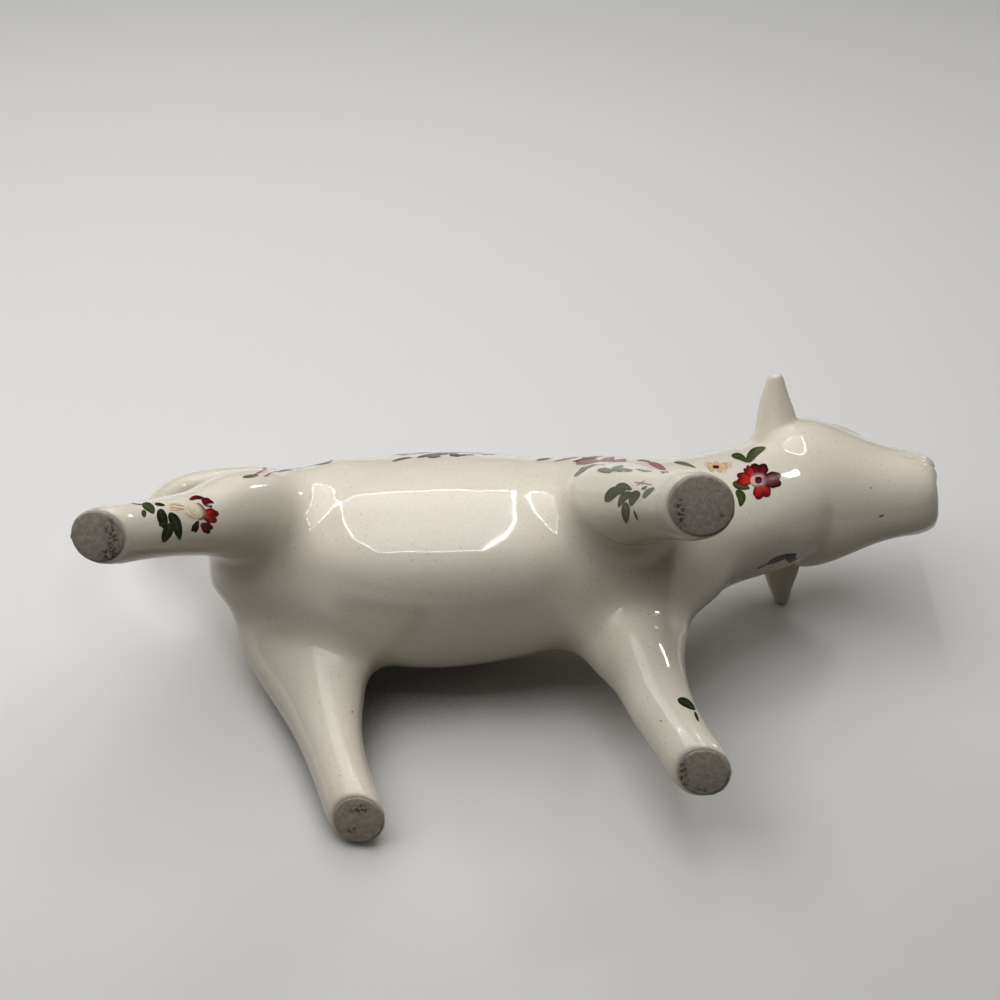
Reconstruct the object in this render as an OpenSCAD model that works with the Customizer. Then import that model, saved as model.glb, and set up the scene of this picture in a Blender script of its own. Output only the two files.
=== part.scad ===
// Cow creamer: a glazed earthenware jug in the shape of a walking cow.
// It stands on its four soles at z = 0, with its head towards +X and its left side towards +Y.
// Cream goes in through the hole in the back and pours out of the mouth; the tail is the handle.

/* [Trunk] */
// Length of the trunk, rump to chest
trunk_l = 105; // [90:1:130]
// Width of the trunk at its widest
trunk_w = 45; // [38:1:56]
// Height of the trunk at its deepest
trunk_h = 50; // [42:1:60]
// Height of the belly's lowest point above the soles
belly_z = 27; // [22:1:34]

/* [Head and neck] */
// Length of the head, poll to mouth
head_l = 46; // [38:1:54]
// Width of the head across the cheeks
head_w = 32; // [27:1:40]
// Depth of the head, forehead to jaw
head_h = 32; // [26:1:40]
// Reach of the mouth in front of the trunk's middle
mouth_reach = 106; // [94:1:120]
// Height of the middle of the head above the middle of the trunk
head_rise = 31.5; // [26:0.5:42]
// Drop of the nose below the line of the head, in degrees
nose_drop = 5; // [0:1:20]
// Width of the neck where it meets the head
neck_w = 27; // [22:1:34]
// Depth of the neck where it meets the head
neck_h = 31; // [24:1:38]

/* [Legs] */
// Diameter of each sole but the right front one
sole_d = 12.5; // [10:0.1:16]
// Diameter of the right front sole, which is the widest
wide_sole_d = 14.2; // [11:0.1:18]
// Width of a hind leg where it meets the trunk, front to back
haunch_l = 40; // [30:1:50]
// Width of a front leg where it meets the trunk, front to back
shoulder_l = 33; // [22:1:40]
// How far the right hind sole lies behind the trunk's middle
right_hind_back = 58; // [44:1:66]
// How far the left hind sole lies behind the trunk's middle
left_hind_back = 14; // [6:1:30]
// How far the left front sole lies in front of the trunk's middle
left_front_reach = 54.4; // [44:0.2:66]
// How far the right front sole lies in front of the trunk's middle
right_front_reach = 56; // [44:0.2:66]
// Spread of the two hind soles, middle to middle
hind_spread = 62; // [50:1:74]
// Spread of the two front soles, middle to middle
front_spread = 55; // [44:1:68]
// How far both hind soles stand to the left of the trunk's middle
hind_shift = 3.2; // [-4:0.2:4]
// How far both front soles stand to the right of the trunk's middle
front_shift = 2.6; // [-4:0.2:4]

/* [Ears] */
// Reach of an ear's tip from the middle of the head
ear_reach = 27; // [21:0.5:32]
// Width of an ear at its root
ear_w = 17; // [12:0.5:20]
// Width of an ear at its rounded tip
ear_tip_w = 5; // [3:0.5:8]
// Thickness of an ear
ear_t = 4.8; // [3.6:0.2:6]
// Depth of the hollow in the front of an ear
ear_cup = 2; // [1:0.2:2.6]
// How far the ears' hollow side is turned up from straight ahead, in degrees
ear_turn = 62; // [30:1:90]

/* [Tail] */
// Diameter of the tail
tail_d = 6.2; // [5:0.1:8]
// How far the tail's loop stands out behind the rump
tail_out = 21.5; // [14:0.5:24]
// Height of the tail's loop above the back
tail_up = 29; // [22:1:36]

/* [Openings] */
// Thickness of the clay wall
wall = 3.2; // [2.2:0.1:4]
// Length of the filling hole in the back
hole_l = 34; // [28:1:44]
// Width of the filling hole in the back
hole_w = 25; // [18:1:30]
// Diameter of the mouth, which is the spout
mouth_d = 9.6; // [7:0.2:11]

/* [Hidden] */

glaze = "ivory";

// Counts of sides round each shape and of steps along it
trunk_sides = 40;
trunk_steps = 30;
head_steps = 22;
neck_steps = 10;
leg_sides = 28;
leg_steps = 18;
tail_sides = 16;
tail_steps = 34;
ear_sides = 20;
ear_steps = 9;

// Every shape below is drawn with the middle of the trunk's length and width at the origin
trunk_z = belly_z + trunk_h / 2;
back_z = belly_z + trunk_h;
head_x = mouth_reach - head_l / 2;
head_z = trunk_z + head_rise;

// An oval follows its cosine and sine raised to a power: below 1 it is squarer than an ellipse
trunk_power = 0.88;
head_power = 0.94;
round_power = 1;

// Trunk, rump to chest: half width, half height up, half height down, rise of the middle
trunk_shares = [[0.80, 0.84, 0.74, 0.10], [0.91, 0.94, 0.80, 0.06], [0.98, 0.97, 0.94, 0.00],
    [0.98, 0.95, 1.00, -0.03], [0.94, 0.94, 0.95, 0.00], [0.90, 0.96, 0.88, 0.04],
    [0.84, 0.92, 0.84, 0.10]];
// Powers that say how squarely the trunk closes at the rump and at the chest
trunk_close = [0.62, 0.70];

// Head, poll to mouth: half width, half height up, half height down
head_shares = [[0.86, 0.86, 0.80], [0.98, 0.98, 0.92], [1.06, 1.03, 0.98], [1.08, 1.00, 0.98],
    [0.98, 0.90, 0.92], [0.83, 0.78, 0.84], [0.70, 0.68, 0.76], [0.66, 0.64, 0.72], [0.64, 0.62, 0.70]];
head_close = [0.60, 0.24];

// Where a rounded shape's first and last rings lie, as a share of its first and last step
first_ring_share = 0.6;

function lerp(a, b, t) = a + (b - a) * t;
function signed_power(v, p) = sign(v) * pow(abs(v), p);

// Smooth value at t, from 0 to 1, along rows that are evenly spaced
function row_at(rows, t) =
    let (n = len(rows) - 1, s = min(max(t, 0), 1) * n, i = min(floor(s), n - 1), u = s - i,
        a = rows[max(i - 1, 0)], b = rows[i], c = rows[i + 1], d = rows[min(i + 2, n)])
    (2 * b + (c - a) * u + (2 * a - 5 * b + 4 * c - d) * pow(u, 2)
        + (3 * b - a - 3 * c + d) * pow(u, 3)) / 2;

// Oval ring about a middle, across directions u and v; its reach along v differs above and below
function ring(middle, u, v, half_u, up, down, power, sides) =
    [for (k = [0 : sides - 1])
        let (a = 360 * k / sides, h = (sin(a) > 0 ? up : down) * signed_power(sin(a), power))
        middle + u * half_u * signed_power(cos(a), power) + v * h];

// Upright direction of a ring that leans back by an angle
function leaning(angle) = [-sin(angle), 0, cos(angle)];
across = [0, 1, 0];
ahead = [1, 0, 0];

// Faces of the stretch between two rings of n points, whose ends are fans about two tips
function span_faces(n) = [for (k = [0 : n - 1], after = (k + 1) % n) each
    [[k, n + k, n + after, after], [k, after, 2 * n], [n + after, n + k, 2 * n + 1]]];

// Solid through a row of rings; each stretch reaches a little way into the next, so that they fuse
tip_share = 0.3;
function middle_of(ring) = let (ones = [for (p = ring) 1]) ones * ring / len(ring);
function tip_at(rings, i, next) =
    lerp(middle_of(rings[i]), middle_of(rings[min(max(next, 0), len(rings) - 1)]), tip_share);
module through(rings) {
    for (i = [0 : len(rings) - 2], tips = [[tip_at(rings, i, i - 1), tip_at(rings, i + 1, i + 2)]])
        hull() polyhedron(concat(rings[i], rings[i + 1], tips), span_faces(len(rings[i])));
}

// Ring i of a rounded shape: its angle from one end to the other, its share of the way, its closing in
function end_angle(i, steps) =
    lerp(180 * first_ring_share / steps, 180 * (1 - first_ring_share / steps), i / steps);
function way_along(a) = (1 - cos(a)) / 2;
function closing(a, powers) = pow(sin(a), lerp(powers[0], powers[1], way_along(a)));

// The trunk's outside, or its inside when it is drawn in by the wall
module trunk_form(inset = 0) {
    through([for (i = [0 : trunk_steps])
        let (a = end_angle(i, trunk_steps),
            s = row_at(trunk_shares, way_along(a)), c = closing(a, trunk_close),
            w = trunk_w / 2 - inset, h = trunk_h / 2 - inset)
        ring([-(trunk_l / 2 - inset) * cos(a), 0, trunk_z + s[3] * h], across, leaning(0), w * s[0] * c,
            h * s[1] * c, h * s[2] * c, trunk_power, trunk_sides)]);
}

// The head's outside or inside, along a line that drops towards the nose
module head_form(inset = 0) {
    through([for (i = [0 : head_steps])
        let (a = end_angle(i, head_steps),
            s = row_at(head_shares, way_along(a)), c = closing(a, head_close),
            w = head_w / 2 - inset, h = head_h / 2 - inset, back = (head_l / 2 - inset) * cos(a),
            lean = -nose_drop * (1 - way_along(a)))
        ring([head_x - back * cos(nose_drop), 0, head_z + back * sin(nose_drop)], across, leaning(lean),
            w * s[0] * c, h * s[1] * c, h * s[2] * c, head_power, trunk_sides)]);
}

// Neck: a curve from inside the trunk's shoulders up into the head, leaning back more and more
neck_shares = [[0.27, 0.02], [0.50, 0.16]];
neck_top_shares = [0.20, 0.02];
neck_start_shares = [0.84, 0.82];
neck_swell = [0.7, 0.8];
neck_lean = [6, 52];
neck_from = [trunk_l * neck_shares[0][0], 0, trunk_z + trunk_h * neck_shares[0][1]];
neck_by = [trunk_l * neck_shares[1][0], 0, trunk_z + trunk_h * neck_shares[1][1]];
neck_to = [head_x - head_l * neck_top_shares[0], 0, head_z - head_h * neck_top_shares[1]];
function curve_at(a, b, c, t) = lerp(lerp(a, b, t), lerp(b, c, t), t);
module neck_form(inset = 0) {
    through([for (i = [0 : neck_steps])
        let (t = i / neck_steps,
            w = lerp(trunk_w * neck_start_shares[0], neck_w, pow(t, neck_swell[0])) / 2 - inset,
            h = lerp(trunk_h * neck_start_shares[1], neck_h, pow(t, neck_swell[1])) / 2 - inset)
        ring(curve_at(neck_from, neck_by, neck_to, t), across, leaning(lerp(neck_lean[0], neck_lean[1], t)),
            w, h, h, round_power, trunk_sides)]);
}

// All the hollow inside, from the rump to the back of the mouth
module hollow() {
    trunk_form(wall);
    head_form(wall);
    neck_form(wall);
}

// The filling hole, straight up out of the hollow
hole_shift_share = 0.02;
module filling_hole() {
    translate([trunk_l * hole_shift_share, 0, trunk_z]) linear_extrude(trunk_h)
        polygon([for (k = [0 : trunk_sides - 1])
            let (a = 360 * k / trunk_sides) [hole_l / 2 * cos(a), hole_w / 2 * sin(a)]]);
}

// The mouth's bore, level and through the end of the nose
module mouth_bore() {
    translate([head_x, 0, head_z - head_l / 2 * sin(nose_drop)])
        rotate([0, 90, 0]) cylinder(d = mouth_d, h = head_l, $fn = trunk_sides);
}

// Leg, sole to root: its width as a share of the way between the sole's and the root's
leg_shares = [0.00, -0.02, 0.01, 0.10, 0.26, 0.49, 0.74, 0.93, 1.00];
// How much the sole's edge is drawn in, where a leg starts to round over into the flank, and how far
// it closes there
sole_edge_share = 0.93;
leg_top_share = 0.68;
leg_end_share = 0.97;
// The knee: its place along, across and up between the sole and the root
knee_shares = [0.72, 0.44, 0.50];
module leg_form(sole, root, sole_size, root_l, root_w) {
    knee = [lerp(sole[0], root[0], knee_shares[0]), lerp(sole[1], root[1], knee_shares[1]),
        root[2] * knee_shares[2]];
    through([for (i = [0 : leg_steps])
        let (t = i / leg_steps, s = row_at(leg_shares, t),
            over = max(0, t - leg_top_share) / (1 - leg_top_share),
            c = (i == 0 ? sole_edge_share : 1) * sqrt(1 - leg_end_share * pow(over, 2)),
            l = lerp(sole_size, root_l, s) / 2 * c, w = lerp(sole_size, root_w, s) / 2 * c)
        ring(curve_at(sole, knee, root, t), ahead, across, l, w, w, round_power, leg_sides)]);
}

// Roots of the left legs inside the trunk, as shares of its length, width and height, and the legs'
// widths there
hind_root_shares = [-0.325, 0.17, 0.18];
front_root_shares = [0.325, 0.17, 0.10];
haunch_w_share = 0.56;
shoulder_w_share = 0.50;
function root_at(shares) = [trunk_l * shares[0], trunk_w * shares[1], trunk_z + trunk_h * shares[2]];
hind_root = root_at(hind_root_shares);
front_root = root_at(front_root_shares);
function right_of(p) = [p[0], -p[1], p[2]];

// A hind or a front leg down to its sole
module hind_leg(sole, root) {
    leg(sole, root, sole_d, haunch_l, trunk_w * haunch_w_share);
}
module front_leg(sole, root, sole_size) {
    leg(sole, root, sole_size, shoulder_l, trunk_w * shoulder_w_share);
}
module leg(sole, root, sole_size, root_l, root_w) {
    placed() difference() {
        leg_form(sole, root, sole_size, root_l, root_w);
        trunk_form();
        neck_form();
    }
}

// Tail: out of the rump, up in a loop and down onto the back; places behind the rump and above the back
tail_shares = [[-0.62, -0.50], [-0.02, -0.20], [0.58, 0.04], [0.95, 0.40], [0.84, 0.80],
    [0.38, 0.96], [-0.15, 0.91], [-0.64, 0.66], [-1.03, 0.30], [-1.38, -0.12]];
tail_thickness_shares = [1.45, 1.22, 1.05, 1.00, 1.00, 1.00, 1.00, 1.04, 1.20, 1.30];
function tail_point(t) =
    let (s = row_at(tail_shares, t)) [-trunk_l / 2 - s[0] * tail_out, 0, back_z + s[1] * tail_up];
function tail_lean(t) =
    let (half_step = 0.5 / tail_steps,
        run = tail_point(min(t + half_step, 1)) - tail_point(max(t - half_step, 0)))
    atan2(run[2], run[0]);
module tail_form() {
    through([for (i = [0 : tail_steps])
        let (t = i / tail_steps, r = row_at(tail_thickness_shares, t) * tail_d / 2)
        ring(tail_point(t), across, leaning(tail_lean(t)), r, r, r, round_power, tail_sides)]);
}

// Ear, root to tip, with a hollow in the side that faces ahead and up
ear_root_shares = [0.25, 0.25, 0.06];
ear_tip_share = 0.36;
ear_taper = 0.6;
ear_tip_power = 8;
ear_edge_power = 4;
ear_along = [cos(ear_turn - 90), 0, sin(ear_turn - 90)];
ear_up = [cos(ear_turn), 0, sin(ear_turn)];
function ear_point(t) = [head_x - head_l * ear_root_shares[0],
    lerp(head_w * ear_root_shares[1], ear_reach, t), head_z + head_h * ear_root_shares[2]];
function tip_round(t, power) = sqrt(1 - ear_tip_share * pow(t, power));
function ear_half(t) = lerp(ear_w, ear_tip_w, pow(t, ear_taper)) / 2 * tip_round(t, ear_tip_power);
module ear_form() {
    through([for (i = [0 : ear_steps])
        let (t = i / ear_steps, half_t = ear_t / 2 * tip_round(t, ear_edge_power))
        ring(ear_point(t), ear_along, ear_up, ear_half(t), half_t, half_t, round_power, ear_sides)]);
}

// The hollow's first and last rings along the ear, its share of the ear's width, and how it swells
// and closes
ear_hollow_shares = [0.30, 0.94];
ear_hollow_w_share = 0.72;
ear_hollow_angles = [12, 168];
module ear_hollow() {
    through([for (i = [0 : ear_steps])
        let (t = i / ear_steps, u = lerp(ear_hollow_shares[0], ear_hollow_shares[1], t),
            swell = sin(lerp(ear_hollow_angles[0], ear_hollow_angles[1], t)))
        ring(ear_point(u) + ear_up * ear_t / 2, ear_along, ear_up, ear_half(u) * ear_hollow_w_share * swell,
            ear_t, ear_cup * swell, round_power, ear_sides)]);
}
module ear() {
    difference() {
        ear_form();
        ear_hollow();
        head_form();
        neck_form();
    }
}

// The whole cow stands with the middle of its length and width over the origin
tail_end_share = 0.955;
tail_reach = trunk_l / 2 + tail_out * tail_end_share + tail_d / 2;
left_edge = hind_spread / 2 + hind_shift + sole_d / 2 * sole_edge_share;
right_edge = front_spread / 2 + front_shift + wide_sole_d / 2 * sole_edge_share;
module placed() {
    color(glaze) translate([(tail_reach - mouth_reach) / 2, (right_edge - left_edge) / 2, 0]) children();
}

module trunk_casting() {
    placed() difference() {
        trunk_form();
        hollow();
        filling_hole();
    }
}
module head_casting() {
    placed() difference() {
        union() {
            head_form();
            neck_form();
        }
        trunk_form();
        hollow();
        mouth_bore();
    }
}
module leg_front_left() {
    front_leg([left_front_reach, front_spread / 2 - front_shift, 0], front_root, sole_d);
}
module leg_front_right() {
    front_leg([right_front_reach, -front_spread / 2 - front_shift, 0], right_of(front_root), wide_sole_d);
}
module leg_hind_left() {
    hind_leg([-left_hind_back, hind_shift + hind_spread / 2, 0], hind_root);
}
module leg_hind_right() {
    hind_leg([-right_hind_back, hind_shift - hind_spread / 2, 0], right_of(hind_root));
}
module tail_handle() {
    placed() difference() {
        tail_form();
        trunk_form();
    }
}
module ear_left() { placed() ear(); }
module ear_right() { placed() mirror([0, 1, 0]) ear(); }

trunk_casting();
head_casting();
leg_front_left();
leg_front_right();
leg_hind_left();
leg_hind_right();
tail_handle();
ear_left();
ear_right();
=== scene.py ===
import bmesh
import bpy
import numpy as np
from mathutils import Matrix, Vector
from mathutils.bvhtree import BVHTree
from mathutils.interpolate import poly_3d_calc


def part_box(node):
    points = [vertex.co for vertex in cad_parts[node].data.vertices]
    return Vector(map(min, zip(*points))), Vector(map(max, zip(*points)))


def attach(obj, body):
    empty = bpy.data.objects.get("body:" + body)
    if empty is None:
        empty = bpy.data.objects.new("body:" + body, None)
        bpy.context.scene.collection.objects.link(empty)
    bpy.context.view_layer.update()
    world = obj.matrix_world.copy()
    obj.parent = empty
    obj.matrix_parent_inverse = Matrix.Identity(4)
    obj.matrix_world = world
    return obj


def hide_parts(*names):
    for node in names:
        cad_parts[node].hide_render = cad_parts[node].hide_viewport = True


# Cow creamer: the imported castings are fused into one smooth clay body, which is cut up again along
# its seams so that each casting keeps a piece of its own. Metres, soles on z = 0, head towards +X.

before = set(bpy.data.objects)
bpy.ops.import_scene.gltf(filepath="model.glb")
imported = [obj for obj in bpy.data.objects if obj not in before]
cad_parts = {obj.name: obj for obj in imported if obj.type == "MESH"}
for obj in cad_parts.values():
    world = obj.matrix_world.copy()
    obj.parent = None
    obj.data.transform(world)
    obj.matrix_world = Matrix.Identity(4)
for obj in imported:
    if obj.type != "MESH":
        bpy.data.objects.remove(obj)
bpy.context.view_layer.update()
print("loaded", sorted(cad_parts))


# Shader maths
class Wire:
    # One socket; arithmetic on it adds Math nodes to the material
    def __init__(self, board, socket):
        self.board, self.socket = board, socket

    def maths(self, operation, *others):
        return self.board.add("ShaderNodeMath", {"operation": operation}, dict(enumerate((self, *others))))

    def __add__(self, other): return self.maths("ADD", other)
    def __sub__(self, other): return self.maths("SUBTRACT", other)
    def __mul__(self, other): return self.maths("MULTIPLY", other)

    def __rsub__(self, other):
        return self.board.add("ShaderNodeMath", {"operation": "SUBTRACT"}, {0: other, 1: self})

    __radd__, __rmul__ = __add__, __mul__


class Board:
    # A material's node board; add() puts one node on it and returns the wire from the wanted output
    def __init__(self, name, tree=None):
        if tree is None:
            self.material = bpy.data.materials.new(name)
            self.material.use_nodes = True
            tree = self.material.node_tree
        self.tree = tree
        self.tree.nodes.clear()

    def add(self, kind, settings=None, sockets=None, out=0):
        node = self.tree.nodes.new(kind)
        for key, value in (settings or {}).items():
            setattr(node, key, value)
        for key, value in (sockets or {}).items():
            if isinstance(value, Wire):
                self.tree.links.new(value.socket, node.inputs[key])
            else:
                node.inputs[key].default_value = value
        return Wire(self, node.outputs[out]) if len(node.outputs) else node

    def place(self):
        return self.add("ShaderNodeTexCoord", out="Object")

    def noise(self, scale, detail=2.0, roughness=0.5, where=None):
        return self.add("ShaderNodeTexNoise", {}, {
            "Vector": where or self.place(), "Scale": scale, "Detail": detail, "Roughness": roughness})

    def between(self, value, low, high, toLow=0.0, toHigh=1.0):
        return self.add("ShaderNodeMapRange", {"interpolation_type": "SMOOTHSTEP"}, {
            "Value": value, "From Min": low, "From Max": high, "To Min": toLow, "To Max": toHigh})

    def mix(self, factor, a, b, blend="MIX"):
        rgb = lambda c: c if isinstance(c, Wire) else (*c, 1)
        return self.add("ShaderNodeMix", {"data_type": "RGBA", "blend_type": blend},
                        {0: factor, 6: rgb(a), 7: rgb(b)}, 2)

    def attribute(self, name, out="Fac"):
        return self.add("ShaderNodeAttribute", {"attribute_name": name}, {}, out)

    def bump(self, height, distance):
        return self.add("ShaderNodeBump", {}, {"Height": height, "Distance": distance, "Strength": 1.0})

    def along(self, where, way):
        # How far a place lies along a direction
        sockets = {0: where, 1: tuple(way)}
        return self.add("ShaderNodeVectorMath", {"operation": "DOT_PRODUCT"}, sockets, "Value")

    def length(self, vector):
        return self.add("ShaderNodeVectorMath", {"operation": "LENGTH"}, {0: vector}, "Value")

    def ray(self, kind):
        return self.add("ShaderNodeLightPath", out=kind)

    def diffuse(self, colour):
        return self.add("ShaderNodeBsdfDiffuse", {}, {"Color": colour})

    def blend(self, factor, one, other):
        return self.add("ShaderNodeMixShader", {}, {0: factor, 1: one, 2: other})

    def oneSided(self, shader):
        # Not there from behind
        behind = self.add("ShaderNodeNewGeometry", out="Backfacing")
        return self.finish(self.blend(behind, shader, self.add("ShaderNodeBsdfTransparent")))

    def surface(self, colour, roughness, normal, **more):
        sockets = {"Base Color": colour, "Roughness": roughness, "Normal": normal, **more}
        return self.finish(self.add("ShaderNodeBsdfPrincipled", {}, sockets))

    def finish(self, shader):
        self.add("ShaderNodeOutputMaterial", {}, {"Surface": shader})
        return self.material


def linked(name, data):
    made = bpy.data.objects.new(name, data)
    bpy.context.collection.objects.link(made)
    return made


def meshOf(shape, name):
    mesh = bpy.data.meshes.new(name)
    shape.to_mesh(mesh)
    shape.free()
    return mesh


# Stage, camera and lights
stage = {
    "camera": (0.0479, -0.1646, -0.3411),      # looks up at the belly of the cow, which lies on its left side
    "cameraRight": (0.9924, 0.0730, 0.0991), "cameraUp": (-0.0325, 0.9322, -0.3604),
    "lens": 72.0, "sensor": 36.0, "clip": (0.01, 20.0),
    "up": (0.096, -0.963, -0.251), "forward": (-0.077, -0.259, 0.963),   # of the table in the photograph
    "table": (0.76, 0.75, 0.735), "tableSize": 3.0,
    "tableFront": 0.06,                        # the sheet ends this far before the jug
    "mottle": (9.0, 0.06, 0.9),                # noise scale, share, how much darker
    "bounce": (0.24, 0.215, 0.175),            # share of the table's colour that lights the jug
    "nearShade": (-0.09, 0.10, 0.17), "farGlow": (0.10, 0.9, 0.8),       # from, to, share, along forward
    "contact": 0.025, "contactShade": (0.15, 0.60, 0.9),                 # how near clay gets a painted contact shadow on the sheet
    "backdrop": (0.60, 0.59, 0.57),
    "groundLow": 0.0001, "groundGlow": 0.95, "groundFade": (0.10, 0.30, 0.55),
}
lamps = {
    "height": 0.336, "forward": (-0.165, 0.347), "right": (-0.331, 0.060),   # the lit frame over the table
    "strip": 0.0065, "stripRadiance": 23.0, "panelRadiance": 1.68, "panelHeight": 1.01,
    "disc": (0.585, 0.515, 0.626), "discAim": (0.065, -0.015, 0.08), "discDistance": 0.50,
    "discSize": 0.07, "discRadiance": 22.0,
    "back": (-0.30, 0.45, 0.84), "backAim": (0, 0, 0.05), "backDistance": 0.9,
    "backSize": 0.8, "backRadiance": 1.6,
    "sky": 0.21, "horizon": 0.010, "skyFrom": 0.2, "skyColour": (1.0, 0.985, 0.96),
}


def turned(x, y, z, at):
    # Places a thing whose own axes point along x, y and z
    spot = Matrix((x, y, z)).transposed().to_4x4()
    spot.translation = at
    return spot


def makeCamera():
    camera = linked("camera", bpy.data.cameras.new("camera"))
    right = Vector(stage["cameraRight"]).normalized()
    up = Vector(stage["cameraUp"])
    up = (up - right * up.dot(right)).normalized() * -1
    camera.data.lens, camera.data.sensor_width = stage["lens"], stage["sensor"]
    camera.data.clip_start, camera.data.clip_end = stage["clip"]
    camera.matrix_world = turned(right, up, right.cross(up), Vector(stage["camera"]))
    bpy.context.scene.camera = camera


def stageAxes():
    up = Vector(stage["up"]).normalized()
    forward = Vector(stage["forward"])
    forward = (forward - up * forward.dot(up)).normalized()
    return up, forward, forward.cross(up)


def sheetMesh(name, at, x, y, size):
    shape = bmesh.new()
    bmesh.ops.create_grid(shape, x_segments=1, y_segments=1, size=size / 2)
    bmesh.ops.transform(shape, matrix=turned(x, y, x.cross(y), at), verts=shape.verts)
    sheet = linked(name, meshOf(shape, name))
    return sheet


def tableMaterial(colour):
    b = Board("table paper")
    scale, share, darker = stage["mottle"]
    mottle = b.between(b.noise(scale, 4.0), 0.3, 0.7, 0.0, share)
    tint = b.mix(mottle, colour, tuple(c * darker for c in colour))
    seen = b.ray("Is Camera Ray") + b.ray("Is Glossy Ray")
    tint = b.mix(seen.maths("MINIMUM", 1.0), tuple(c * k for c, k in zip(colour, stage["bounce"])), tint)
    # Painted shade towards the sheet's front, painted light far away, and a painted contact shadow where clay
    # is near
    depth = b.along(b.place(), stageAxes()[1])
    start, end, share = stage["nearShade"]
    tint = b.mix(b.between(depth, start, end, share, 0.0), tint, (0, 0, 0))
    start, end, share = stage["farGlow"]
    tint = b.mix(b.between(depth, start, end, 0.0, share), tint, (1, 1, 1))
    under = b.add("ShaderNodeAmbientOcclusion", {"samples": 8}, {"Distance": stage["contact"]}, "AO")
    start, end, share = stage["contactShade"]
    tint = b.mix(b.between(under, start, end, share, 0.0), tint, (0, 0, 0))
    return b.oneSided(b.diffuse(tint))


def groundMaterial(colour):
    # Keeps a soft shadow near the jug and stays pale far away
    b = Board("ground paper")
    pale = (*stage["backdrop"], 1)
    glow = b.add("ShaderNodeEmission", {}, {"Color": pale, "Strength": stage["groundGlow"]})
    start, end, share = stage["groundFade"]
    far = b.between(b.length(b.place()), start, end, share, 1.0)
    return b.oneSided(b.blend(far, b.diffuse((*colour, 1)), glow))


def makeStage(lowest):
    up, forward, right = stageAxes()
    size = stage["tableSize"]
    table = sheetMesh("table", up * lowest + forward * (size / 2 - stage["tableFront"]), right, forward, size)
    table.data.materials.append(tableMaterial(stage["table"]))
    table.visible_shadow = False
    low = Vector((0, 0, -stage["groundLow"]))
    ground = sheetMesh("ground", low, Vector((1, 0, 0)), Vector((0, 1, 0)), size)
    ground.data.materials.append(groundMaterial(stage["table"]))
    ground.visible_shadow = ground.visible_diffuse = False
    ground.visible_glossy = ground.visible_transmission = False


def areaLamp(name, at, aim, x, width, height, radiance, glossy=True):
    lamp = linked(name, bpy.data.lights.new(name, "AREA"))
    lamp.data.shape = "RECTANGLE"
    lamp.data.size, lamp.data.size_y = width, height
    lamp.data.energy = radiance * np.pi * width * height
    z = (at - aim).normalized()
    x = (x - z * x.dot(z)).normalized()
    lamp.matrix_world = turned(x, z.cross(x), z, at)
    lamp.visible_camera = False
    lamp.visible_glossy = glossy
    return lamp


def makeLights():
    up, forward, right = stageAxes()
    near, far = lamps["forward"]
    left, end = lamps["right"]
    wide, deep, strip = end - left, far - near, lamps["strip"]
    midForward, midRight = (near + far) / 2, (left + end) / 2

    def overTable(name, f, r, width, height, radiance, rise=1.0):
        at = up * lamps["height"] * rise + forward * f + right * r
        areaLamp(name, at, at - up, right, width, height, radiance)

    overTable("strip near", near, midRight, wide, strip, lamps["stripRadiance"])
    overTable("strip far", far, midRight, wide, strip, lamps["stripRadiance"])
    overTable("strip left", midForward, left, strip, deep, lamps["stripRadiance"])
    overTable("strip right", midForward, end, strip, deep, lamps["stripRadiance"])
    overTable("panel", midForward, midRight, wide, deep, lamps["panelRadiance"], lamps["panelHeight"])
    u, f, r = lamps["disc"]
    way = (up * u + forward * f + right * r).normalized()
    aim = Vector(lamps["discAim"])
    size = lamps["discSize"]
    at = aim + way * lamps["discDistance"]
    disc = areaLamp("disc lamp", at, aim, right, size, size, lamps["discRadiance"])
    disc.data.shape = "DISK"
    way, size = Vector(lamps["back"]).normalized(), lamps["backSize"]
    at, aim = way * lamps["backDistance"], Vector(lamps["backAim"])
    areaLamp("back light", at, aim, Vector((1, 0, 0)), size, size, lamps["backRadiance"], glossy=False)
    world = bpy.data.worlds.new("room")
    world.use_nodes = True
    bpy.context.scene.world = world
    b = Board("room", world.node_tree)
    height = b.along(b.add("ShaderNodeTexCoord", out="Generated"), up)
    level = b.between(height, lamps["skyFrom"], 1.0, lamps["horizon"], lamps["sky"])
    glow = b.add("ShaderNodeBackground", {}, {"Color": (*lamps["skyColour"], 1), "Strength": level})
    flat = b.add("ShaderNodeBackground", {}, {"Color": (*stage["backdrop"], 1), "Strength": 1.0})
    b.add("ShaderNodeOutputWorld", {}, {"Surface": b.blend(b.ray("Is Camera Ray"), glow, flat)})


# The fused clay body
clay = {
    "merge": 1e-6,             # points of a casting nearer than this are one
    "voxel": 0.00062,          # how finely the fused surface is made
    "swell": 0.00005,          # the copies are swollen a little so that touching castings fuse
    "tuck": 0.0006,            # a cut piece's rim is turned in by this much before it is closed
    "near": 0.010,             # the seams are looked for within this distance
    "seams": [                 # how far round each seam the surface is smoothed, and how often
        ("leg", "trunk", 0.0080, 160), ("leg", "head", 0.0060, 90), ("head", "trunk", 0.0080, 160),
        ("tail", "trunk", 0.0035, 40), ("ear", "head", 0.0030, 36)],
    "seamPower": 0.7, "seamBlur": 4, "ownerBlur": 3,
    "evenShare": {"trunk": 1.0, "head": 0.9, "leg": 0.5, "tail": 0.20, "ear": 0.06},
    "evenPasses": 26, "evenBlur": 10,
    "footHeight": 0.004, "footShare": 0.30,       # below this the legs' ends are left a little crisper
    "hollowPasses": 14, "hollowBlur": 6, "hollowDepth": 0.00012,      # where glaze pools, and where creases get painted shade
}
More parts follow.
